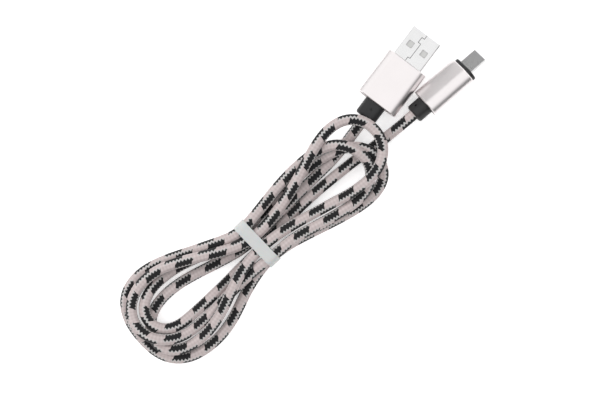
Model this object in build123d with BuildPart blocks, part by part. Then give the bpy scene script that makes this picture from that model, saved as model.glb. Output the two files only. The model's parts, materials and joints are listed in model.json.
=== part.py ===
"""A one-metre braided charging cable, USB-A to micro-USB, wound into a tied hank and lying flat.

Millimetres, +Z up from the surface it lies on. +X points out of the USB-A plug's mouth, and the
origin is the centre of the flat underside of that plug's aluminium sleeve."""

import os
from math import cos, pi, radians, sin, tan

from build123d import *

# The cable itself
CABLE_D = 4.0
JACKET_D = 3.0
JACKET_BORE = 2.1
WIRE_D = 0.56
WIRE_OFFSET = 0.42
CRIMP_D = 4.4
FIT = 0.05

# USB-A plug. Along the plug, 0 is the sleeve's front face and + is towards the mouth.
A_SLEEVE = (17.0, 8.4)
A_SLEEVE_CORNER = 3.4
A_SLEEVE_LENGTH = 18.5
A_SHELL = (12.0, 4.5)
A_SHELL_WALL = 0.3
A_SHELL_REACH = 12.0
A_SHELL_TAIL = 8.0
A_WINDOW = 2.4
A_WINDOW_AT = (5.9, 3.0)
A_RELIEF = (8.2, 6.0)
A_RELIEF_LENGTH = 6.5
A_CONTACT_PITCHES = {"vbus": 3.5, "data_minus": 1.0, "data_plus": -1.0, "ground": -3.5}
A_CONTACT = (1.0, 0.25)
A_TONGUE_TOP = 1.9
A_TONGUE_BOTTOM = 0.05

# Micro-USB plug, measured in the same way
B_SLEEVE = (12.4, 8.0)
B_SLEEVE_CORNER = 3.6
B_SLEEVE_LENGTH = 18.3
B_SHELL = (6.85, 1.8)
B_SHELL_WALL = 0.2
B_SHELL_REACH = 8.2
B_SHELL_TAIL = 6.0
B_RING = (10.4, 6.2)
B_RING_LENGTH = 1.4
B_RELIEF = (6.9, 6.1)
B_RELIEF_LENGTH = 5.6
B_CONTACT_PITCHES = {"vbus": 1.3, "data_minus": 0.65, "data_plus": 0.0, "id": -0.65, "ground": -1.3}
B_CONTACT = (0.36, 0.12)
B_CONTACT_Z = 0.19
LATCH_Y = 1.9
LATCH_ROOT = 0.95
LATCH_TIP = 6.8
LATCH_WIDTH = 0.5
LATCH_HOOK = (4.9, 6.6)
LATCH_DEPTH = 1.15

SLEEVE_WALL = 0.6
SLEEVE_EDGE = 0.25
SOCKET_DEPTH = 2.4

# Where the plugs lie
PLUG_A = Plane(origin=(A_SLEEVE_LENGTH / 2, 0, A_SLEEVE[1] / 2), x_dir=(1, 0, 0), z_dir=(0, 0, 1))
B_HEADING = radians(-11.7)
B_ROLL = radians(42)
# The height at which the rolled sleeve just rests on the surface
B_HEIGHT = (
    B_SLEEVE_CORNER
    + (B_SLEEVE[0] / 2 - B_SLEEVE_CORNER) * sin(B_ROLL)
    + (B_SLEEVE[1] / 2 - B_SLEEVE_CORNER) * cos(B_ROLL)
)
PLUG_B = Plane(
    origin=(19.1, -18.1, B_HEIGHT),
    x_dir=(cos(B_HEADING), sin(B_HEADING), 0),
    z_dir=(-sin(B_HEADING) * sin(B_ROLL), cos(B_HEADING) * sin(B_ROLL), cos(B_ROLL)),
)

# The hank: the outer shape of its two lobes, and the tie round its waist
HANK_HEIGHT = 12.0
WAIST_LENGTH = 6.1
RELIEF_ROOM = 0.4
TIE_AT = (-75.2, 3.6)
TIE_HEADING = -9.0
TIE_SIZE = (4.6, 19.8, 9.2)
TIE_WALL = 0.5
TIE_CORNER = 3.0
HANK_OUTLINE = [
    (-72.0, 12.8), (-62.0, 12.2), (-50.0, 11.8), (-38.0, 10.2), (-27.0, 10.2), (-19.5, 7.2),
    (-15.0, 0.0), (-15.6, -9.0), (-20.5, -15.2), (-25.0, -19.0), (-32.0, -22.0), (-40.0, -21.0),
    (-51.0, -16.2), (-62.0, -10.6), (-72.0, -6.4), (-80.0, -4.8), (-91.0, -5.2), (-102.0, -8.0),
    (-114.0, -7.6), (-124.0, -3.4), (-130.0, 5.0), (-129.0, 17.0), (-125.5, 27.0), (-118.0, 32.6),
    (-108.0, 32.2), (-96.0, 25.6), (-86.0, 18.8), (-78.0, 14.0),
]
LEFT_GAP = [
    (-91.0, 8.0), (-98.0, 12.0), (-105.0, 15.2), (-112.0, 16.6), (-116.5, 15.0), (-114.5, 11.0),
    (-107.0, 8.4), (-98.0, 6.8),
]
RIGHT_GAP = [
    (-55.0, -3.4), (-46.0, -4.8), (-37.0, -7.0), (-30.5, -8.4), (-31.0, -11.6), (-36.0, -11.6),
    (-46.0, -7.6),
]
# The two free ends of the cable, from inside each strain relief to inside the hank
LEAD_A = [(-13.4, 0.0, 4.2), (-17.0, 0.0, 4.2), (-21.0, 0.0, 3.4)]
LEAD_B = [(-2.0, -13.73, 5.64), (-7.34, -12.62, 5.64), (-12.5, -11.4, 4.2), (-17.5, -10.2, 2.8)]
ARC_SHARE = 0.45


def across(plug, at):
    """The plane square to a plug's axis; its own x is the plug's width."""
    return Plane(origin=plug.from_local_coords((at, 0, 0)), x_dir=plug.y_dir, z_dir=plug.x_dir)


def lying(plug, height):
    """The plane along a plug, at a height above its middle."""
    return Plane(origin=plug.from_local_coords((0, 0, height)), x_dir=plug.x_dir, z_dir=plug.z_dir)


def write(part, name):
    part.label = name
    export_step(part, f"parts/{name}.step")
    return part


def sleeve(plug, size, corner, length):
    """The aluminium sleeve: a rounded tube, its edges broken."""
    with BuildPart() as tube:
        with BuildSketch(across(plug, -length)):
            RectangleRounded(*size, corner)
            inner = [side - 2 * SLEEVE_WALL for side in size]
            RectangleRounded(*inner, corner - SLEEVE_WALL, mode=Mode.SUBTRACT)
        extrude(amount=length)
        ends = tube.faces().filter_by(Axis(plug.origin, plug.x_dir))
        chamfer(ends.edges(), length=SLEEVE_EDGE)
    return tube.part


def strain_relief(plug, size, corner, start, length):
    """The flexible collar: a bore for the inner jacket, a socket for the braid, a gate mark."""
    end = start - length
    with BuildPart() as collar:
        with BuildSketch(across(plug, end)):
            RectangleRounded(*size, corner)
        extrude(amount=length)
        rear = collar.faces().sort_by(Axis(plug.origin, plug.x_dir))[0]
        fillet(rear.edges(), radius=0.9)
        with BuildSketch(across(plug, end)):
            Circle(CABLE_D / 2 + FIT)
        extrude(amount=SOCKET_DEPTH, mode=Mode.SUBTRACT)
        with BuildSketch(across(plug, end)):
            Circle(JACKET_D / 2 + FIT)
        extrude(amount=length, mode=Mode.SUBTRACT)
        with BuildSketch(lying(plug, size[1] / 2 - 0.5)):
            with Locations((start - 3.4, 0)):
                Circle(0.45)
        extrude(amount=1.0, mode=Mode.SUBTRACT)
    return collar.part


def tube_along(plug, start, end, outer, inner):
    with BuildPart() as tube:
        with BuildSketch(across(plug, start)):
            Circle(outer / 2)
            Circle(inner / 2, mode=Mode.SUBTRACT)
        extrude(amount=end - start)
    return tube.part


def wire(plug, start, bend, straight, end, entry, exit_point):
    """One insulated core, from the cable's end to the tail of its contact."""
    corners = [(start, *entry), (bend, *entry), (straight, *exit_point), (end, *exit_point)]
    points = [plug.from_local_coords(corner) for corner in corners]
    with BuildPart() as core:
        with BuildLine():
            FilletPolyline(*points, radius=0.6)
        with BuildSketch(across(plug, start)):
            with Locations(entry):
                Circle(WIRE_D / 2)
        sweep()
    return core.part


def seam(plug, height, points, width=0.2, depth=0.15):
    """The dovetail seam of a folded shell, as a sketch on the floor of its groove."""
    with BuildSketch(lying(plug, height - depth)) as groove:
        with BuildLine():
            Polyline(*points)
        trace(line_width=width)
    return groove.sketch


def lead(points, name):
    """A stretch of the cable that isn't in the hank: straight runs joined by tangent arcs."""
    corners = [Vector(*point) for point in points]
    runs = [b - a for a, b in zip(corners, corners[1:])]
    radii = []
    for before, after in zip(runs, runs[1:]):
        half_turn = radians(before.get_angle(after)) / 2
        radii.append(ARC_SHARE * min(before.length, after.length) / tan(half_turn))
    print(name, "radii", [round(radius, 1) for radius in radii])
    with BuildPart() as cable:
        with BuildLine() as route:
            FilletPolyline(*corners, radius=radii)
        with BuildSketch(Plane(origin=corners[0], z_dir=runs[0])):
            Circle(CABLE_D / 2)
        sweep()
    section = pi * (CABLE_D / 2) ** 2
    print(name, "volume share", round(cable.part.volume / (section * route.wire().length), 3))
    return write(cable.part, name)


os.makedirs("parts", exist_ok=True)

# ---------------------------------------------------------------- USB-A plug
A_CORE_BACK = -(A_SLEEVE_LENGTH - 0.5)
A_CHAMBER_BACK = -13.5
A_CHAMBER_FRONT = -(A_SHELL_TAIL + 0.3)
A_RELIEF_END = A_CORE_BACK - A_RELIEF_LENGTH - 0.5
A_CONTACT_BACK = -10.5

with BuildPart() as usb_a_shell:
    with BuildSketch(across(PLUG_A, -A_SHELL_TAIL)):
        RectangleRounded(*A_SHELL, 0.6)
        hollow = [side - 2 * A_SHELL_WALL for side in A_SHELL]
        RectangleRounded(*hollow, 0.3, mode=Mode.SUBTRACT)
    extrude(amount=A_SHELL_TAIL + A_SHELL_REACH)
    with BuildSketch(PLUG_A):
        with Locations((A_WINDOW_AT[0], A_WINDOW_AT[1]), (A_WINDOW_AT[0], -A_WINDOW_AT[1])):
            RectangleRounded(A_WINDOW, A_WINDOW, 0.35)
    extrude(amount=A_SHELL[1], both=True, mode=Mode.SUBTRACT)
    groove = seam(
        PLUG_A,
        A_SHELL[1] / 2,
        [(12.2, 0), (10.3, 0), (10.3, 1.1), (8.1, 1.1), (8.1, 0), (1.7, 0), (1.7, 0.9), (-1, 0.9)],
    )
    extrude(groove, amount=1, mode=Mode.SUBTRACT)
write(usb_a_shell.part, "usb_a_shell")

with BuildPart() as usb_a_insulator:
    block = [side - 2 * A_SHELL_WALL - 2 * FIT for side in A_SHELL]
    with BuildSketch(across(PLUG_A, A_CHAMBER_FRONT)):
        RectangleRounded(*block, 0.25)
    extrude(amount=-A_CHAMBER_FRONT - 1.0)
    tongue = A_TONGUE_TOP - A_TONGUE_BOTTOM
    with BuildSketch(across(PLUG_A, -1.0)):
        with Locations((0, (A_TONGUE_TOP + A_TONGUE_BOTTOM) / 2)):
            RectangleRounded(block[0], tongue, 0.25)
    extrude(amount=12.2)
    with BuildSketch(across(PLUG_A, A_CHAMBER_FRONT - 1)):
        for y in A_CONTACT_PITCHES.values():
            with Locations((y, A_TONGUE_BOTTOM + A_CONTACT[1] / 2)):
                Rectangle(*A_CONTACT)
    extrude(amount=-A_CHAMBER_FRONT + 1 + 10.4, mode=Mode.SUBTRACT)
write(usb_a_insulator.part, "usb_a_insulator")

for signal, y in A_CONTACT_PITCHES.items():
    reach = 10.2 if abs(y) > 2 else 9.2
    with BuildPart() as contact:
        with BuildSketch(across(PLUG_A, A_CONTACT_BACK)):
            with Locations((y, A_TONGUE_BOTTOM + A_CONTACT[1] / 2)):
                Rectangle(*A_CONTACT)
        extrude(amount=reach - A_CONTACT_BACK)
        nose = contact.edges().filter_by(Axis(PLUG_A.origin, PLUG_A.y_dir))
        chamfer(nose.sort_by(Axis.X)[-2:].sort_by(Axis.Z)[0], length=0.12)
    write(contact.part, f"usb_a_contact_{signal}")

with BuildPart() as usb_a_core:
    with BuildSketch(across(PLUG_A, A_CORE_BACK)):
        outer = [side - 2 * SLEEVE_WALL - 2 * FIT for side in A_SLEEVE]
        RectangleRounded(*outer, A_SLEEVE_CORNER - SLEEVE_WALL - FIT)
    extrude(amount=-A_CORE_BACK - 0.3)
    with BuildSketch(across(PLUG_A, A_CHAMBER_FRONT)):
        RectangleRounded(A_SHELL[0] + FIT, A_SHELL[1] + FIT, 0.6)
    extrude(amount=-A_CHAMBER_FRONT, mode=Mode.SUBTRACT)
    with BuildSketch(across(PLUG_A, A_CHAMBER_BACK)):
        RectangleRounded(10.4, 3.6, 0.6)
    extrude(amount=A_CHAMBER_FRONT - A_CHAMBER_BACK, mode=Mode.SUBTRACT)
    with BuildSketch(across(PLUG_A, A_CORE_BACK)):
        Circle(CRIMP_D / 2 + FIT)
    extrude(amount=A_CHAMBER_BACK - A_CORE_BACK, mode=Mode.SUBTRACT)
write(usb_a_core.part, "usb_a_core")

write(sleeve(PLUG_A, A_SLEEVE, A_SLEEVE_CORNER, A_SLEEVE_LENGTH), "usb_a_sleeve")
write(
    strain_relief(PLUG_A, A_RELIEF, 2.6, A_CORE_BACK, A_RELIEF_LENGTH + 0.5), "usb_a_strain_relief"
)
A_JACKET_START = A_RELIEF_END + SOCKET_DEPTH
write(tube_along(PLUG_A, A_JACKET_START, -15.0, JACKET_D, JACKET_BORE), "usb_a_inner_jacket")
write(tube_along(PLUG_A, -17.6, -14.6, CRIMP_D, JACKET_D + FIT), "usb_a_crimp")
entries = [
    (WIRE_OFFSET, WIRE_OFFSET),
    (WIRE_OFFSET, -WIRE_OFFSET),
    (-WIRE_OFFSET, -WIRE_OFFSET),
    (-WIRE_OFFSET, WIRE_OFFSET),
]
A_WIRE_Z = A_TONGUE_BOTTOM + A_CONTACT[1] / 2
for (signal, y), entry in zip(A_CONTACT_PITCHES.items(), entries):
    core = wire(
        PLUG_A, A_JACKET_START + 0.1, -13.4, -11.2, A_CONTACT_BACK - 0.02, entry, (y, A_WIRE_Z)
    )
    write(core, f"usb_a_wire_{signal}")

# ------------------------------------------------------------ micro-USB plug
B_CORE_BACK = -(B_SLEEVE_LENGTH - 0.5)
B_CHAMBER_BACK = -12.5
B_CHAMBER_FRONT = -(B_SHELL_TAIL + 0.2)
B_RING_BOSS = 0.8
B_RELIEF_END = B_CORE_BACK - B_RELIEF_LENGTH - 0.5
B_CONTACT_BACK = -8.2
B_BLOCK_FRONT = 0.8


def shell_profile(grow):
    """The micro-USB outline: wide on top, its two lower corners cut back."""
    half_width = B_SHELL[0] / 2 + grow
    half_height = B_SHELL[1] / 2 + grow
    cut = 0.85
    Polygon(
        (half_width, half_height),
        (-half_width, half_height),
        (-half_width, -half_height + cut),
        (-half_width + cut, -half_height),
        (half_width - cut, -half_height),
        (half_width, -half_height + cut),
        align=None,
    )


with BuildPart() as micro_shell:
    with BuildSketch(across(PLUG_B, -B_SHELL_TAIL)):
        shell_profile(0)
    extrude(amount=B_SHELL_TAIL + B_SHELL_REACH)
    with BuildSketch(across(PLUG_B, -B_SHELL_TAIL)):
        shell_profile(-B_SHELL_WALL)
    extrude(amount=B_SHELL_TAIL + B_SHELL_REACH, mode=Mode.SUBTRACT)
    with BuildSketch(lying(PLUG_B, -B_SHELL[1])):
        slot_middle = (LATCH_HOOK[0] + LATCH_HOOK[1]) / 2
        with Locations((slot_middle, LATCH_Y), (slot_middle, -LATCH_Y)):
            Rectangle(LATCH_HOOK[1] - LATCH_HOOK[0] + 0.6, LATCH_WIDTH + 0.24)
    extrude(amount=B_SHELL[1], mode=Mode.SUBTRACT)
    groove = seam(
        PLUG_B,
        B_SHELL[1] / 2,
        [(8.4, 0), (6.6, 0), (6.6, 0.6), (5.4, 0.6), (5.4, 0), (3.4, 0), (3.4, 0.6), (1, 0.6)],
        width=0.14,
        depth=0.1,
    )
    extrude(groove, amount=1, mode=Mode.SUBTRACT)
write(micro_shell.part, "micro_shell")

with BuildPart() as micro_insulator:
    with BuildSketch(across(PLUG_B, -7.0)):
        shell_profile(-B_SHELL_WALL - FIT)
    extrude(amount=7.0 + B_BLOCK_FRONT)
    with BuildSketch(across(PLUG_B, B_BLOCK_FRONT)):
        with Locations((0, 0.45)):
            Rectangle(6.0, 0.4)
    extrude(amount=6.6)
    with BuildSketch(across(PLUG_B, -8.0)):
        for y in B_CONTACT_PITCHES.values():
            with Locations((y, B_CONTACT_Z)):
                Rectangle(*B_CONTACT)
    extrude(amount=8.0 + B_BLOCK_FRONT, mode=Mode.SUBTRACT)
write(micro_insulator.part, "micro_insulator")

for signal, y in B_CONTACT_PITCHES.items():
    with BuildPart() as contact:
        with BuildSketch(across(PLUG_B, B_CONTACT_BACK)):
            with Locations((y, B_CONTACT_Z)):
                Rectangle(*B_CONTACT)
        extrude(amount=6.9 - B_CONTACT_BACK)
    write(contact.part, f"micro_contact_{signal}")

for side, y in {"left": LATCH_Y, "right": -LATCH_Y}.items():
    with BuildPart() as latch:
        edge = PLUG_B.from_local_coords((0, y - LATCH_WIDTH / 2, 0))
        arm = Plane(origin=edge, x_dir=PLUG_B.x_dir, z_dir=PLUG_B.y_dir * -1)
        with BuildSketch(arm):
            Polygon(
                (LATCH_ROOT - 0.1, -0.64),
                (LATCH_HOOK[0], -0.64),
                (LATCH_HOOK[0] + 0.1, -LATCH_DEPTH),
                (LATCH_HOOK[0] + 0.5, -LATCH_DEPTH),
                (LATCH_HOOK[1], -0.64),
                (LATCH_TIP, -0.64),
                (LATCH_TIP, -0.44),
                (LATCH_ROOT - 0.1, -0.44),
                align=None,
            )
        extrude(amount=-LATCH_WIDTH)
    write(latch.part, f"micro_latch_{side}")

with BuildPart() as micro_front_ring:
    boss = [side - 2 * SLEEVE_WALL - 2 * FIT for side in B_SLEEVE]
    with BuildSketch(across(PLUG_B, -B_RING_BOSS)):
        RectangleRounded(*boss, B_SLEEVE_CORNER - SLEEVE_WALL - FIT)
    extrude(amount=B_RING_BOSS)
    with BuildSketch(across(PLUG_B, 0)):
        RectangleRounded(*B_RING, 2.7)
    extrude(amount=B_RING_LENGTH)
    front = micro_front_ring.faces().sort_by(Axis(PLUG_B.origin, PLUG_B.x_dir))[-1]
    fillet(front.edges(), radius=0.4)
    with BuildSketch(across(PLUG_B, -1)):
        shell_profile(0.03)
    extrude(amount=B_RING_LENGTH + 2, mode=Mode.SUBTRACT)
write(micro_front_ring.part, "micro_front_ring")

with BuildPart() as micro_core:
    with BuildSketch(across(PLUG_B, B_CORE_BACK)):
        RectangleRounded(*boss, B_SLEEVE_CORNER - SLEEVE_WALL - FIT)
    extrude(amount=-B_CORE_BACK - B_RING_BOSS)
    with BuildSketch(across(PLUG_B, B_CHAMBER_FRONT)):
        shell_profile(0.03)
    extrude(amount=-B_CHAMBER_FRONT, mode=Mode.SUBTRACT)
    with BuildSketch(across(PLUG_B, B_CHAMBER_BACK)):
        RectangleRounded(7.0, 3.0, 0.5)
    extrude(amount=B_CHAMBER_FRONT - B_CHAMBER_BACK, mode=Mode.SUBTRACT)
    with BuildSketch(across(PLUG_B, B_CORE_BACK)):
        Circle(CRIMP_D / 2 + FIT)
    extrude(amount=B_CHAMBER_BACK - B_CORE_BACK, mode=Mode.SUBTRACT)
write(micro_core.part, "micro_core")

write(sleeve(PLUG_B, B_SLEEVE, B_SLEEVE_CORNER, B_SLEEVE_LENGTH), "micro_sleeve")
write(
    strain_relief(PLUG_B, B_RELIEF, 2.6, B_CORE_BACK, B_RELIEF_LENGTH + 0.5), "micro_strain_relief"
)
B_JACKET_START = B_RELIEF_END + SOCKET_DEPTH
write(tube_along(PLUG_B, B_JACKET_START, -14.2, JACKET_D, JACKET_BORE), "micro_inner_jacket")
write(tube_along(PLUG_B, -17.2, -14.2, CRIMP_D, JACKET_D + FIT), "micro_crimp")
wired = {signal: y for signal, y in B_CONTACT_PITCHES.items() if signal != "id"}
for (signal, y), entry in zip(wired.items(), entries):
    core = wire(
        PLUG_B, B_JACKET_START + 0.1, -12.6, -9.2, B_CONTACT_BACK - 0.02, entry, (y, B_CONTACT_Z)
    )
    write(core, f"micro_wire_{signal}")

# ------------------------------------------------------------ cable and tie
WAIST = Plane(
    origin=(*TIE_AT, TIE_SIZE[2] / 2),
    x_dir=Vector(0, 1, 0).rotate(Axis.Z, TIE_HEADING),
    z_dir=Vector(1, 0, 0).rotate(Axis.Z, TIE_HEADING),
)
tie_inside = [side - 2 * TIE_WALL for side in TIE_SIZE[1:]]
bundle = [side - 2 * FIT for side in tie_inside]
relief_top = PLUG_A.origin.Z + A_RELIEF[1] / 2

with BuildPart() as cable_hank:
    with BuildSketch():
        with BuildLine():
            Spline(*HANK_OUTLINE, periodic=True)
        make_face()
        for gap in (LEFT_GAP, RIGHT_GAP):
            with BuildLine():
                Spline(*gap, periodic=True)
            make_face(mode=Mode.SUBTRACT)
    extrude(amount=HANK_HEIGHT)
    with BuildSketch(WAIST):
        Rectangle(3 * TIE_SIZE[1], 3 * HANK_HEIGHT)
        RectangleRounded(*bundle, TIE_CORNER - TIE_WALL - FIT, mode=Mode.SUBTRACT)
    extrude(amount=WAIST_LENGTH / 2, both=True, mode=Mode.SUBTRACT)
    with BuildSketch(across(PLUG_A, A_RELIEF_END - RELIEF_ROOM)):
        with Locations((0, -PLUG_A.origin.Z / 2 + A_RELIEF[1] / 4 + RELIEF_ROOM / 2)):
            Rectangle(A_RELIEF[0] + 2 * RELIEF_ROOM, relief_top + RELIEF_ROOM)
    extrude(amount=A_RELIEF_LENGTH + 2 * RELIEF_ROOM, mode=Mode.SUBTRACT)
write(cable_hank.part, "cable_hank")

lead(LEAD_A, "cable_lead_usb_a")
lead(LEAD_B, "cable_lead_micro")

with BuildPart() as hank_tie:
    with BuildSketch(WAIST):
        RectangleRounded(*TIE_SIZE[1:], TIE_CORNER)
        RectangleRounded(*tie_inside, TIE_CORNER - TIE_WALL, mode=Mode.SUBTRACT)
    extrude(amount=TIE_SIZE[0] / 2, both=True)
write(hank_tie.part, "hank_tie")
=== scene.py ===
"""The looks of the braided charging cable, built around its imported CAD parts.

Named lengths are in millimetres, in the CAD's frame: +X out of the USB-A plug's mouth, +Z up from
the surface that the cable lies on."""

import json
import math

import bpy
import numpy as np
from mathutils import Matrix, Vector


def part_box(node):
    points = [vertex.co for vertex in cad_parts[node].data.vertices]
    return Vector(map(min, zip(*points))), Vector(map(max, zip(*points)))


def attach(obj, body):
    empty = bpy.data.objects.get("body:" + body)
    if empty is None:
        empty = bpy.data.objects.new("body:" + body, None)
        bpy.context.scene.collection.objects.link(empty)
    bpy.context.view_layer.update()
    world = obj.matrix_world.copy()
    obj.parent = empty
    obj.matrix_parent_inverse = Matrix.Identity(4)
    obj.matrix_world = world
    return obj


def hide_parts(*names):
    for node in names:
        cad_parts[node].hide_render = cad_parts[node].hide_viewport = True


MM = 0.001
BODY = "cable"

# The cable, and the way its braid is made
CABLE_D = 4.0
RING_STEP = 0.36
SIDES = 32
CARRIERS = 8
PICK = 1.25
RELIEF = 0.055
TRACKS = 4
PATTERN_PERIOD = 12.2
PATCH_LENGTH = 6.4
PATCH_HALF_WIDTH = 0.34
ZIGZAG = 0.12

# How the turns are laid beside and on each other: the share of each overlap that one round
# undoes, the rounds, and the passes of smoothing that follow
PUSH = 0.3
ROUNDS = 260
EASING = 110

# The tie round the middle of the hank, and how far past each edge of it the cable is kept in line
TIE_WALL = 0.5
TIE_HEADING = -9.0
TIE_LENGTH = 4.6
TIE_MARGIN = 2.4

# The camera looks straight down, turned so that the plugs point up and to the right
CAMERA_OVER = (-53.4, 0.7, 5.0)
CAMERA_TURN = -52.8
FIELD_WIDTH = 215.8
LENS = 135.0
SENSOR = 36.0

# The sky's brightness overhead and low down, how far its bright part leans to +Y, and the
# leaning heights between which it brightens
SKY_BRIGHT = 1.12
SKY_DARK = 0.2
SKY_LEAN = 0.3
SKY_DARK_UNDER = 0.2
SKY_BRIGHT_OVER = 0.8

# The floor's own light, as of a light table, so that it stays white under the cable
TABLE_GLOW = 0.45

# The cable's route, from inside the USB-A plug's collar to inside the micro-USB plug's collar
ROUTE = [
    # Out of the USB-A plug and down its lead to the tie
    (-13.4, 0, 4.2), (-17, 0, 4.2), (-21, 0, 3.4), (-28, 0, 2.1), (-34.5, 0.5, 2.1),
    (-42, 1.5, 2.1), (-50, 2.6, 2.1), (-58, 3.4, 2.1), (-66, 4.2, 2.5), (-73, 5.2, 2.6),
    # First left loop
    (-80, 6.5, 2.3), (-85.5, 9, 2.1), (-91.5, 11.8, 2.1), (-97, 14.5, 2.1), (-102, 16.8, 2.1),
    (-107.5, 18.5, 2.1), (-112.5, 19.4, 2.1), (-117, 19.1, 2.1), (-121, 17.6, 2.3),
    (-124, 15, 3.6), (-126, 11.3, 5.4), (-126, 7, 5.9), (-123.5, 3.2, 5.4), (-119.5, 0.5, 4.6),
    (-114, -1.4, 4.4), (-108.5, -2, 5), (-102, -1.5, 6), (-96.5, -0.5, 7.4), (-91, 0.5, 7.8),
    (-84, 1, 6.8), (-78.5, 1, 6.6),
    # First right loop, over everything else and over the USB-A plug's collar
    (-74, 0.5, 6.6), (-68, -1, 6.4), (-61.5, -3.2, 6.1), (-55, -6, 6.4), (-47.5, -9.2, 7.2),
    (-40.5, -12.4, 8.6), (-33.5, -14.6, 9.6), (-27, -15, 9.6), (-21, -12.8, 9.5),
    (-17.5, -8.4, 9.5), (-16.5, -2.8, 9.5), (-18, 2.6, 9.6), (-22, 6.4, 9.6), (-28.5, 8.1, 9.6),
    (-36, 7.6, 9.6), (-43.5, 6.4, 9.2), (-51, 5.4, 8), (-58.5, 5, 6.8), (-66, 5.2, 6.4),
    (-72.5, 6, 6.6),
    # Second left loop
    (-75.5, 7, 6.6), (-81, 9.8, 7.2), (-86, 13.4, 8.6), (-90.5, 17, 9), (-95.5, 20.8, 8.8),
    (-100, 24, 8.4), (-104.5, 26.6, 8), (-110, 28.1, 7.6), (-115, 28.2, 7), (-120, 26.8, 6.6),
    (-123.5, 23.8, 6.8), (-125.5, 19.5, 8), (-125.5, 14.8, 9), (-124, 10.5, 8.8),
    (-121, 7, 7.4), (-117.5, 4.6, 5.8), (-112.5, 3, 4.4), (-107, 2, 3.8), (-101, 1.3, 3.6),
    (-95, 0.6, 3.6), (-89, 0, 4.4), (-84, -1, 5.4), (-79, -2.5, 6.4),
    # Second right loop
    (-74.5, -4, 6.6), (-67, -5.2, 6.4), (-61.5, -7.6, 6.1), (-55.5, -10.4, 6.1),
    (-49.5, -13, 6.1), (-44, -15.2, 6.1), (-38, -16.6, 6), (-33, -16, 5.9), (-28.5, -13.3, 6.2),
    (-26.5, -8.7, 7.8), (-27, -3.5, 9.2), (-28.5, 1, 9), (-32, 4.5, 7.6), (-37, 6.7, 6),
    (-43, 8.4, 5.8), (-49, 9.4, 6), (-55.5, 10, 6), (-62, 10.2, 6.1), (-67.5, 10.4, 6.4),
    (-72, 10.6, 6.6),
    # Third left loop, round the outside and along the surface
    (-77, 11.2, 6.5), (-81, 13.4, 6), (-86, 16.6, 5.4), (-91.5, 20.2, 4.8), (-96.5, 23.8, 4.4),
    (-102, 27.4, 4.2), (-107.5, 30, 3.8), (-113, 31.1, 3.2), (-118, 30.5, 2.4), (-122, 28, 2.1),
    (-125, 23.8, 2.1), (-126.8, 18.5, 2.1), (-127.8, 13, 2.1), (-128.2, 7.8, 2.1),
    (-127, 3.1, 2.1), (-124, -0.8, 2.1), (-119.5, -3.7, 2.1), (-114, -5.4, 2.1),
    (-108.5, -6.1, 2.1), (-102.5, -5.8, 2.1), (-97, -4.6, 2.1), (-91.5, -3.2, 2.1),
    (-85.5, -2.4, 2.1), (-80, -2.5, 2.4),
    # Third right loop
    (-74.5, -3.4, 2.6), (-69, -5.2, 2.5), (-63, -8, 2.1), (-57, -11.1, 2.1), (-51, -14.1, 2.1),
    (-45, -16.9, 2.1), (-39, -19, 2.1), (-33, -19.9, 2.8), (-28, -18.4, 4.4), (-25, -14.9, 5.8),
    (-24, -10, 6), (-25, -5, 5.8), (-28.5, -1, 5.8), (-32.5, 1.6, 5.2), (-37.5, 3.9, 3.6),
    (-43, 5.4, 2.2), (-49, 6.6, 2.1), (-55, 7.6, 2.1), (-61.5, 8.5, 2.1), (-67.5, 9, 2.5),
    (-72.5, 9.2, 2.6),
    # Fourth left loop, the smallest
    (-78.5, 9.8, 2.3), (-83, 12, 2.1), (-88, 15, 2.1), (-93, 18, 2.1), (-97.5, 20.5, 2.3),
    (-103, 22.6, 3), (-109, 23.9, 4.4), (-113.5, 24, 5.4), (-117.8, 22.8, 5.8), (-121, 20, 5.9),
    (-122.3, 15.9, 5.9), (-121.2, 11.6, 5.9), (-117.8, 8.4, 5.5), (-113, 6.8, 4.6), (-107.5, 6, 3.4),
    (-102, 5, 2.6), (-96, 4.1, 2.1), (-90, 3.4, 2.1), (-84, 2.7, 2.1), (-78.5, 2, 2.4),
    # The lead to the micro-USB plug
    (-73, 1.3, 2.6), (-66.5, 1, 2.4), (-59.5, 0.2, 2.1), (-53.5, -0.7, 2.1), (-47, -2, 2.1),
    (-41, -3.5, 2.1), (-34.5, -5.1, 2.1), (-28.5, -6.8, 2.1), (-23, -8.5, 2.1),
    (-17.5, -10.2, 2.8), (-12.5, -11.4, 4.2), (-7.34, -12.62, 5.64), (-2.0, -13.73, 5.64),
]


# ---------------------------------------------------------------- the cable's line
def route_line(points):
    """Points down the middle of the smooth curve whose control points are the route."""
    curve = bpy.data.curves.new("route", "CURVE")
    curve.dimensions = "3D"
    curve.resolution_u = 24
    spline = curve.splines.new("NURBS")
    spline.points.add(len(points) - 1)
    for control, point in zip(spline.points, points):
        control.co = (*(MM * value for value in point), 1)
    spline.use_endpoint_u = True
    spline.order_u = 3
    carrier = bpy.data.objects.new("route", curve)
    mesh = bpy.data.meshes.new_from_object(carrier)
    line = np.array([vertex.co for vertex in mesh.vertices])
    bpy.data.meshes.remove(mesh)
    bpy.data.objects.remove(carrier)
    bpy.data.curves.remove(curve)
    return line


def distance_along(line):
    """How far along the line each of its points lies."""
    steps = np.linalg.norm(np.diff(line, axis=0), axis=1)
    return np.concatenate([[0], np.cumsum(steps)])


def evenly(line, step):
    """The same line with its points a step apart."""
    along = distance_along(line)
    places = np.linspace(0, along[-1], round(along[-1] / step) + 1)
    return np.stack([np.interp(places, along, line[:, axis]) for axis in range(3)], axis=1)


def blurred(values, passes):
    """The values smoothed along their first axis, with both ends kept."""
    for _ in range(passes):
        ends = values[[0, -1]]
        values = (values[:-2] + 2 * values[1:-1] + values[2:]) / 4
        values = np.concatenate([ends[:1], values, ends[1:]])
    return values


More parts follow.
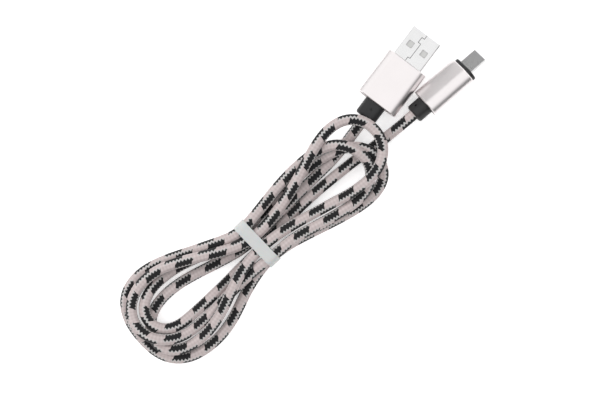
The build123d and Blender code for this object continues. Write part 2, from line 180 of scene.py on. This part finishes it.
def inside_tie(points):
    """The same points, with those that pass through the tie moved within its opening."""
    low, high = (np.array(corner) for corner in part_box("hank_tie"))
    centre = (low + high) / 2
    heading = math.radians(TIE_HEADING)
    forward = np.array([math.cos(heading), math.sin(heading), 0])
    sideways = np.array([-math.sin(heading), math.cos(heading), 0])
    half_length = MM * TIE_LENGTH / 2
    half_width = ((high - low)[1] / 2 - half_length * abs(forward[1])) / sideways[1]
    skin = MM * (TIE_WALL + CABLE_D / 2 + RELIEF)
    offset = points - centre
    within = abs(offset @ forward) < half_length + MM * TIE_MARGIN
    across = offset @ sideways
    allowed = np.clip(across, skin - half_width, half_width - skin)
    moved = points + (allowed - across)[:, None] * sideways
    moved[:, 2] = np.clip(points[:, 2], low[2] + skin, high[2] - skin)
    return np.where(within[:, None], moved, points)


def settled(line, thickness):
    """The line with its turns resting beside and on each other instead of passing through."""
    stride = 6
    free_after = 9
    held = 7
    coarse = line[::stride]
    count = len(coarse)
    number = np.arange(count)
    apart = abs(number[:, None] - number[None]) > free_after
    hold = np.clip(np.minimum(number, number[::-1]) / held, 0, 1)[:, None]
    floor = thickness / 2 + MM * RELIEF
    shift = np.zeros_like(coarse)
    for _ in range(ROUNDS):
        now = coarse + shift
        between = now[:, None] - now[None]
        distance = np.linalg.norm(between, axis=2) + 1e-9
        overlap = np.where(apart, np.clip(thickness - distance, 0, None), 0) / distance
        shift = blurred(shift + PUSH * (between * overlap[:, :, None]).sum(1), 1)
        shift[:, 2] = np.maximum(shift[:, 2], floor - coarse[:, 2])
        shift = hold * (inside_tie(coarse + shift) - coarse)
    at = distance_along(line)
    moved = line + np.stack([np.interp(at, at[::stride], shift[:, axis]) for axis in range(3)], axis=1)
    rested = blurred(moved, EASING)
    rested[:, 2] = np.maximum(rested[:, 2], floor)
    return rested


def carried_frames(line):
    """A normal and a side direction at each point, carried along without twisting."""
    tangents = np.gradient(line, axis=0)
    tangents /= np.linalg.norm(tangents, axis=1)[:, None]
    normal = np.array([0.0, 0.0, 1.0])
    normals = []
    for tangent in tangents:
        normal = normal - normal.dot(tangent) * tangent
        normal = normal / np.linalg.norm(normal)
        normals.append(normal)
    normals = np.array(normals)
    return normals, np.cross(tangents, normals)


# ---------------------------------------------------------------- meshes
def braid_height(along, turn):
    """Height of the braid's yarns, from 0 in the crevices to 1 on their crowns."""
    one_way = along / PICK + CARRIERS * turn
    other_way = along / PICK - CARRIERS * turn
    return 0.5 + 0.5 * np.cos(math.pi * one_way) * np.cos(math.pi * other_way)


def braided_tube(name, line):
    """A tube along the line, its surface raised where the yarns cross."""
    along = distance_along(line) / MM
    normals, sides = carried_frames(line)
    turns = np.arange(SIDES) / SIDES
    height = braid_height(along[:, None], turns[None])
    radius = MM * (CABLE_D / 2 + RELIEF * (2 * height - 1))
    angle = 2 * math.pi * turns
    outward = normals[:, None] * np.cos(angle)[None, :, None]
    outward = outward + sides[:, None] * np.sin(angle)[None, :, None]
    points = (line[:, None] + radius[:, :, None] * outward).reshape(-1, 3)

    faces = []
    corners = []
    for ring in range(len(line) - 1):
        for side in range(SIDES):
            following = (side + 1) % SIDES
            first = ring * SIDES
            second = first + SIDES
            faces.append((first + side, first + following, second + following, second + side))
            start, end = side / SIDES, (side + 1) / SIDES
            corners += [(along[ring], start), (along[ring], end)]
            corners += [(along[ring + 1], end), (along[ring + 1], start)]
    last = (len(line) - 1) * SIDES
    for cap in (tuple(range(SIDES))[::-1], tuple(range(last, last + SIDES))):
        faces.append(cap)
        corners += [(0, 0)] * SIDES

    mesh = bpy.data.meshes.new(name)
    mesh.from_pydata(points.tolist(), [], faces)
    layer = mesh.uv_layers.new(name="braid")
    layer.data.foreach_set("uv", np.array(corners, np.float32).ravel())
    crown = mesh.attributes.new("crown", "FLOAT", "POINT")
    crown.data.foreach_set("value", height.astype(np.float32).ravel())
    mesh.shade_smooth()
    piece = bpy.data.objects.new(name, mesh)
    bpy.context.scene.collection.objects.link(piece)
    return piece


# ---------------------------------------------------------------- materials
class Shader:
    """A material with a Principled surface, and short ways to add nodes to it."""

    def __init__(self, name, colour, roughness, metallic=0.0, **sockets):
        self.material = bpy.data.materials.new(name)
        self.material.use_nodes = True
        self.tree = self.material.node_tree
        self.surface = self.tree.nodes["Principled BSDF"]
        self.set("Base Color", (*colour, 1))
        self.set("Roughness", roughness)
        self.set("Metallic", metallic)
        for socket, value in sockets.items():
            self.set(socket.replace("_", " "), value)

    def set(self, socket, value):
        self.surface.inputs[socket].default_value = value

    def link(self, source, target):
        self.tree.links.new(source, target)

    def node(self, kind, **inputs):
        made = self.tree.nodes.new(kind)
        for socket, value in inputs.items():
            self.put(value, made.inputs[socket.replace("_", " ")])
        return made

    def put(self, value, socket):
        if isinstance(value, bpy.types.NodeSocket):
            self.link(value, socket)
        else:
            socket.default_value = value

    def math(self, operation, *values):
        made = self.tree.nodes.new("ShaderNodeMath")
        made.operation = operation
        for value, socket in zip(values, made.inputs):
            self.put(value, socket)
        return made.outputs[0]

    def mix(self, share, first, second):
        """A colour between two, each a tuple or another node's colour."""
        made = self.tree.nodes.new("ShaderNodeMix")
        made.data_type = "RGBA"
        self.put(share, made.inputs["Factor"])
        for value, socket in ((first, "A"), (second, "B")):
            place = next(i for i in made.inputs if i.name == socket and i.type == "RGBA")
            self.put((*value, 1) if isinstance(value, tuple) else value, place)
        return next(o for o in made.outputs if o.type == "RGBA")

    def place(self, stretch=(1, 1, 1)):
        """Where a point lies in the part's own frame, stretched along an axis if need be."""
        spot = self.node("ShaderNodeTexCoord").outputs["Object"]
        return self.node("ShaderNodeMapping", Vector=spot, Scale=stretch).outputs["Vector"]

    def noise(self, scale, detail=3.0, stretch=(1, 1, 1)):
        made = self.node("ShaderNodeTexNoise", Vector=self.place(stretch), Scale=scale, Detail=detail)
        return made.outputs["Factor" if "Factor" in made.outputs else "Fac"]

    def range(self, value, low, high):
        made = self.node("ShaderNodeMapRange", Value=value, To_Min=low, To_Max=high)
        return made.outputs["Result"]

    def vary_roughness(self, value, low, high):
        self.link(self.range(value, low, high), self.surface.inputs["Roughness"])

    def bump(self, height, depth, strength=1.0):
        made = self.node("ShaderNodeBump", Height=height, Distance=depth * MM, Strength=strength)
        self.link(made.outputs["Normal"], self.surface.inputs["Normal"])

    def colour(self, source):
        self.link(source, self.surface.inputs["Base Color"])


def braid_material():
    """Rose yarn with painted shade in its crevices, zigzag black patches in four tracks that wind round
    it, grey beside them.
    """
    rose = (0.58, 0.51, 0.503)
    # Painted shade: the darker rose that the yarn takes down in the braid's crevices
    rose_crevice_painted_shade = (0.38, 0.32, 0.315)
    grey = (0.30, 0.295, 0.29)
    grey_light = (0.50, 0.49, 0.485)
    black = (0.012, 0.012, 0.013)
    shader = Shader("braid", rose, 0.78, Sheen_Weight=0.15, Sheen_Roughness=0.5)
    shader.set("Specular IOR Level", 0.25)
    uv = shader.tree.nodes.new("ShaderNodeUVMap")
    uv.uv_map = "braid"
    parts = shader.node("ShaderNodeSeparateXYZ", Vector=uv.outputs["UV"])
    along, turn = parts.outputs["X"], parts.outputs["Y"]

    tooth = shader.math("PINGPONG", along, PICK / 2)
    zigzag = shader.math("MULTIPLY_ADD", tooth, 4 * ZIGZAG / PICK, -ZIGZAG)
    across = shader.math("MULTIPLY_ADD", turn, TRACKS, zigzag)
    track = shader.math("ROUND", across)
    signed = shader.math("SUBTRACT", across, track)
    off_track = shader.math("ABSOLUTE", signed)
    phase = shader.math("MULTIPLY_ADD", track, -1 / TRACKS, shader.math("DIVIDE", along, PATTERN_PERIOD))
    slanted = shader.math("MULTIPLY_ADD", signed, 0.12, phase)
    from_middle = shader.math("ABSOLUTE", shader.math("SUBTRACT", shader.math("FRACT", slanted), 0.5))
    in_band = shader.math("LESS_THAN", from_middle, PATCH_LENGTH / PATTERN_PERIOD / 2)
    on_track = shader.math("LESS_THAN", off_track, PATCH_HALF_WIDTH)
    is_black = shader.math("MULTIPLY", in_band, on_track)

    crown = shader.node("ShaderNodeAttribute")
    crown.attribute_name = "crown"
    crown = crown.outputs["Fac"]
    mottle = shader.noise(700, 2)
    # Painted shade: the rose yarn is darkened down in the braid's crevices and kept at full colour on
    # its crowns
    rose_lit = shader.mix(shader.range(crown, 0.25, 1.0), rose_crevice_painted_shade, rose)
    rose_yarn = shader.mix(shader.range(mottle, 0.0, 0.22), rose_lit, (0.48, 0.41, 0.405))
    grey_yarn = shader.mix(shader.math("GREATER_THAN", off_track, 0.40), grey, grey_light)
    ground = shader.mix(in_band, rose_yarn, grey_yarn)
    shader.colour(shader.mix(is_black, ground, black))
    fibres = shader.noise(9000, 2)
    shader.bump(shader.math("MULTIPLY_ADD", fibres, 0.5, crown), 0.06, 0.6)
    return shader.material


def aluminium_material():
    """Fine bead-blasted aluminium, anodised a pale rose."""
    shader = Shader("aluminium", (0.86, 0.82, 0.82), 0.3, 1.0)
    grain = shader.noise(5200, 2)
    cloud = shader.noise(160, 2)
    shader.colour(shader.mix(shader.range(cloud, 0, 1), (0.84, 0.80, 0.80), (0.88, 0.84, 0.84)))
    shader.vary_roughness(grain, 0.27, 0.36)
    shader.bump(grain, 0.006, 0.5)
    return shader.material


def metal_shader(name, colour, darker, low, high):
    """Drawn or plated metal, with fine streaks along X and smudges in its gloss, and its tint."""
    scratch_depth = 0.002
    shader = Shader(name, colour, low, 1.0)
    streaks = shader.noise(2600, 3, stretch=(0.05, 1, 1))
    smudges = shader.noise(220, 3)
    shader.vary_roughness(shader.math("MULTIPLY", streaks, smudges), low, high)
    shader.bump(streaks, scratch_depth, 0.4)
    return shader, shader.mix(shader.range(smudges, 0, 1), colour, darker)


def metal_material(name, colour, low, high):
    darker = tuple(0.9 * value for value in colour)
    shader, tint = metal_shader(name, colour, darker, low, high)
    shader.colour(tint)
    return shader.material


def folded_shell_material():
    """Plated steel, with painted shade down in the seam where the shell's edges meet and round its
    windows.
    """
    below_face = 0.03
    above_bore = 0.28
    half_width = 5.2
    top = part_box("usb_a_shell")[1].z
    shader, tint = metal_shader("usb_a_shell", (0.80, 0.80, 0.80), (0.73, 0.73, 0.73), 0.14, 0.26)
    spot = shader.node("ShaderNodeSeparateXYZ", Vector=shader.place()).outputs
    # Painted shade: the mask below finds where the surface sinks into the seam and round the windows,
    # where shade would fall
    is_sunk = shader.math("LESS_THAN", spot["Z"], top - below_face * MM)
    is_in_wall = shader.math("GREATER_THAN", spot["Z"], top - above_bore * MM)
    is_off_edge = shader.math("LESS_THAN", shader.math("ABSOLUTE", spot["Y"]), half_width * MM)
    seam_painted_shade = shader.math("MULTIPLY", shader.math("MULTIPLY", is_sunk, is_in_wall), is_off_edge)
    # Painted shade: the seam and window edges are coloured near black
    shader.colour(shader.mix(seam_painted_shade, tint, (0.10, 0.10, 0.10)))
    return shader.material


def plastic_material(name, colour, roughness, grain_depth=0.01, spread=0.12):
    """Moulded plastic with a fine grain, a little uneven in colour and gloss."""
    shader = Shader(name, colour, roughness)
    grain = shader.noise(3000, 3)
    cloud = shader.noise(260, 2)
    darker = tuple((1 - spread) * value for value in colour)
    shader.colour(shader.mix(shader.range(cloud, 0, 1), colour, darker))
    shader.vary_roughness(grain, roughness - 0.06, roughness + 0.06)
    shader.bump(grain, grain_depth, 0.6)
    return shader.material


def tie_material():
    """A soft, slightly milky plastic band with a fine lengthwise grain."""
    shader = Shader("tie", (0.54, 0.55, 0.545), 0.42, Subsurface_Weight=0.15)
    shader.set("Subsurface Scale", 0.6 * MM)
    grain = shader.noise(2400, 3, stretch=(1, 0.08, 0.5))
    shader.colour(shader.mix(shader.range(grain, 0, 1), (0.51, 0.52, 0.515), (0.57, 0.58, 0.575)))
    shader.vary_roughness(grain, 0.36, 0.5)
    shader.bump(grain, 0.02, 0.5)
    return shader.material


def cad_materials():
    """Each material under the name of the slot that wears it, or of the one node that does."""
    return {
        "aluminium": aluminium_material(),
        "usb_a_shell": folded_shell_material(),
        "micro_shell": metal_material("micro_shell", (0.66, 0.66, 0.66), 0.16, 0.28),
        "spring_steel": metal_material("spring_steel", (0.70, 0.70, 0.70), 0.22, 0.34),
        "crimp_steel": metal_material("crimp_steel", (0.62, 0.62, 0.62), 0.3, 0.45),
        "gold": metal_material("gold", (0.85, 0.66, 0.30), 0.16, 0.28),
        "black_moulding": plastic_material("black_moulding", (0.012, 0.012, 0.013), 0.5),
        "insulator_black": plastic_material("insulator_black", (0.018, 0.018, 0.018), 0.5),
        "insulator_pale": plastic_material("insulator_pale", (0.57, 0.57, 0.56), 0.45),
        "core_pale": plastic_material("core_pale", (0.70, 0.69, 0.66), 0.5),
        "jacket": plastic_material("jacket", (0.03, 0.03, 0.03), 0.6),
        "wire_red": plastic_material("wire_red", (0.55, 0.02, 0.015), 0.4),
        "wire_black": plastic_material("wire_black", (0.015, 0.015, 0.015), 0.4),
        "wire_green": plastic_material("wire_green", (0.02, 0.30, 0.06), 0.4),
        "wire_white": plastic_material("wire_white", (0.78, 0.78, 0.76), 0.4),
        "tie": tie_material(),
    }


def dress_cad_nodes(frame):
    """Gives each CAD node its own material if there is one, or else the material of its slot."""
    materials = cad_materials()
    for part in frame["record"]["subparts"]:
        material = materials.get(part["node"]) or materials.get(part["material_slot"])
        if material:
            mesh = frame["nodes"][part["node"]].data
            mesh.materials.clear()
            mesh.materials.append(material)


# ---------------------------------------------------------------- stage
def make_camera():
    data = bpy.data.cameras.new("camera")
    data.lens = LENS
    data.sensor_width = SENSOR
    camera = bpy.data.objects.new("camera", data)
    bpy.context.scene.collection.objects.link(camera)
    camera.location = MM * Vector(CAMERA_OVER) + Vector((0, 0, MM * FIELD_WIDTH * LENS / SENSOR))
    camera.rotation_euler = (0, 0, math.radians(CAMERA_TURN))
    bpy.context.scene.camera = camera


def area_light(name, place, aim, size, power):
    data = bpy.data.lights.new(name, "AREA")
    data.shape = "RECTANGLE"
    data.size, data.size_y = size
    data.energy = power
    light = bpy.data.objects.new(name, data)
    light.location = place
    light.rotation_euler = (Vector(aim) - Vector(place)).to_track_quat("-Z", "Y").to_euler()
    light.visible_camera = False
    light.visible_glossy = False
    bpy.context.scene.collection.objects.link(light)


def plane(name, place, size):
    x, y = size[0] / 2, size[1] / 2
    mesh = bpy.data.meshes.new(name)
    mesh.from_pydata([(-x, -y, 0), (x, -y, 0), (x, y, 0), (-x, y, 0)], [], [(0, 1, 2, 3)])
    made = bpy.data.objects.new(name, mesh)
    made.location = place
    bpy.context.scene.collection.objects.link(made)
    return made


def make_stage():
    """A light table, two softboxes that light but aren't reflected, and a sky to reflect."""
    floor = plane("floor", (0, 0, 0), (6, 6))
    paper = Shader("paper", (0.92, 0.92, 0.92), 0.9)
    paper.colour(paper.mix(paper.noise(3, 2), (0.915, 0.915, 0.915), (0.925, 0.925, 0.925)))
    paper.set("Emission Color", (1, 1, 1, 1))
    paper.set("Emission Strength", TABLE_GLOW)
    floor.data.materials.append(paper.material)

    middle = (-0.05, 0, 0)
    area_light("left_softbox", (-0.15, 0.9, 0.9), middle, (1.0, 0.8), 4.6)
    area_light("right_softbox", (0.1, -0.7, 1.0), middle, (0.9, 0.6), 2.6)
    make_sky()
    bpy.context.scene.view_settings.view_transform = "Standard"


def make_sky():
    """A bright sky that falls off softly towards the horizon, much further on the -Y side."""
    world = bpy.data.worlds.new("studio")
    world.use_nodes = True
    nodes, links = world.node_tree.nodes, world.node_tree.links
    lean = nodes.new("ShaderNodeVectorMath")
    lean.operation = "DOT_PRODUCT"
    lean.inputs[1].default_value = (0, SKY_LEAN, 1)
    links.new(nodes.new("ShaderNodeTexCoord").outputs["Generated"], lean.inputs[0])
    fade = nodes.new("ShaderNodeMapRange")
    fade.interpolation_type = "SMOOTHSTEP"
    limits = {
        "From Min": SKY_DARK_UNDER,
        "From Max": SKY_BRIGHT_OVER,
        "To Min": SKY_DARK,
        "To Max": SKY_BRIGHT,
    }
    for socket, value in limits.items():
        fade.inputs[socket].default_value = value
    links.new(lean.outputs["Value"], fade.inputs["Value"])
    links.new(fade.outputs["Result"], nodes["Background"].inputs["Strength"])
    nodes["Background"].inputs["Color"].default_value = (1, 1, 1, 1)
    bpy.context.scene.world = world


# ---------------------------------------------------------------- the object
def make_cable():
    """The whole cable in one piece, with the micro-USB plug at its far end and the tie on it."""
    line = evenly(route_line(ROUTE), RING_STEP * MM)
    line = settled(line, MM * CABLE_D)
    cable = braided_tube("braided_cable", line)
    cable.data.materials.append(braid_material())
    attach(cable, BODY)
    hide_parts("cable_hank", "cable_lead_usb_a", "cable_lead_micro")


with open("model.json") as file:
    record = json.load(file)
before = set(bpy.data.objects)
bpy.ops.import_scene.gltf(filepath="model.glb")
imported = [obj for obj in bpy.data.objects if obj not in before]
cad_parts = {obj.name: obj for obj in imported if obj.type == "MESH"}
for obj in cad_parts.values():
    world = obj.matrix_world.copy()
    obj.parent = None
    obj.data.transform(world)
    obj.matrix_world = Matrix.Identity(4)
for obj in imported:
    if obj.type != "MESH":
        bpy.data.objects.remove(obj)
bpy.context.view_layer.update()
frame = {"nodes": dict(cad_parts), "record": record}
make_camera()
make_cable()
dress_cad_nodes(frame)
make_stage()
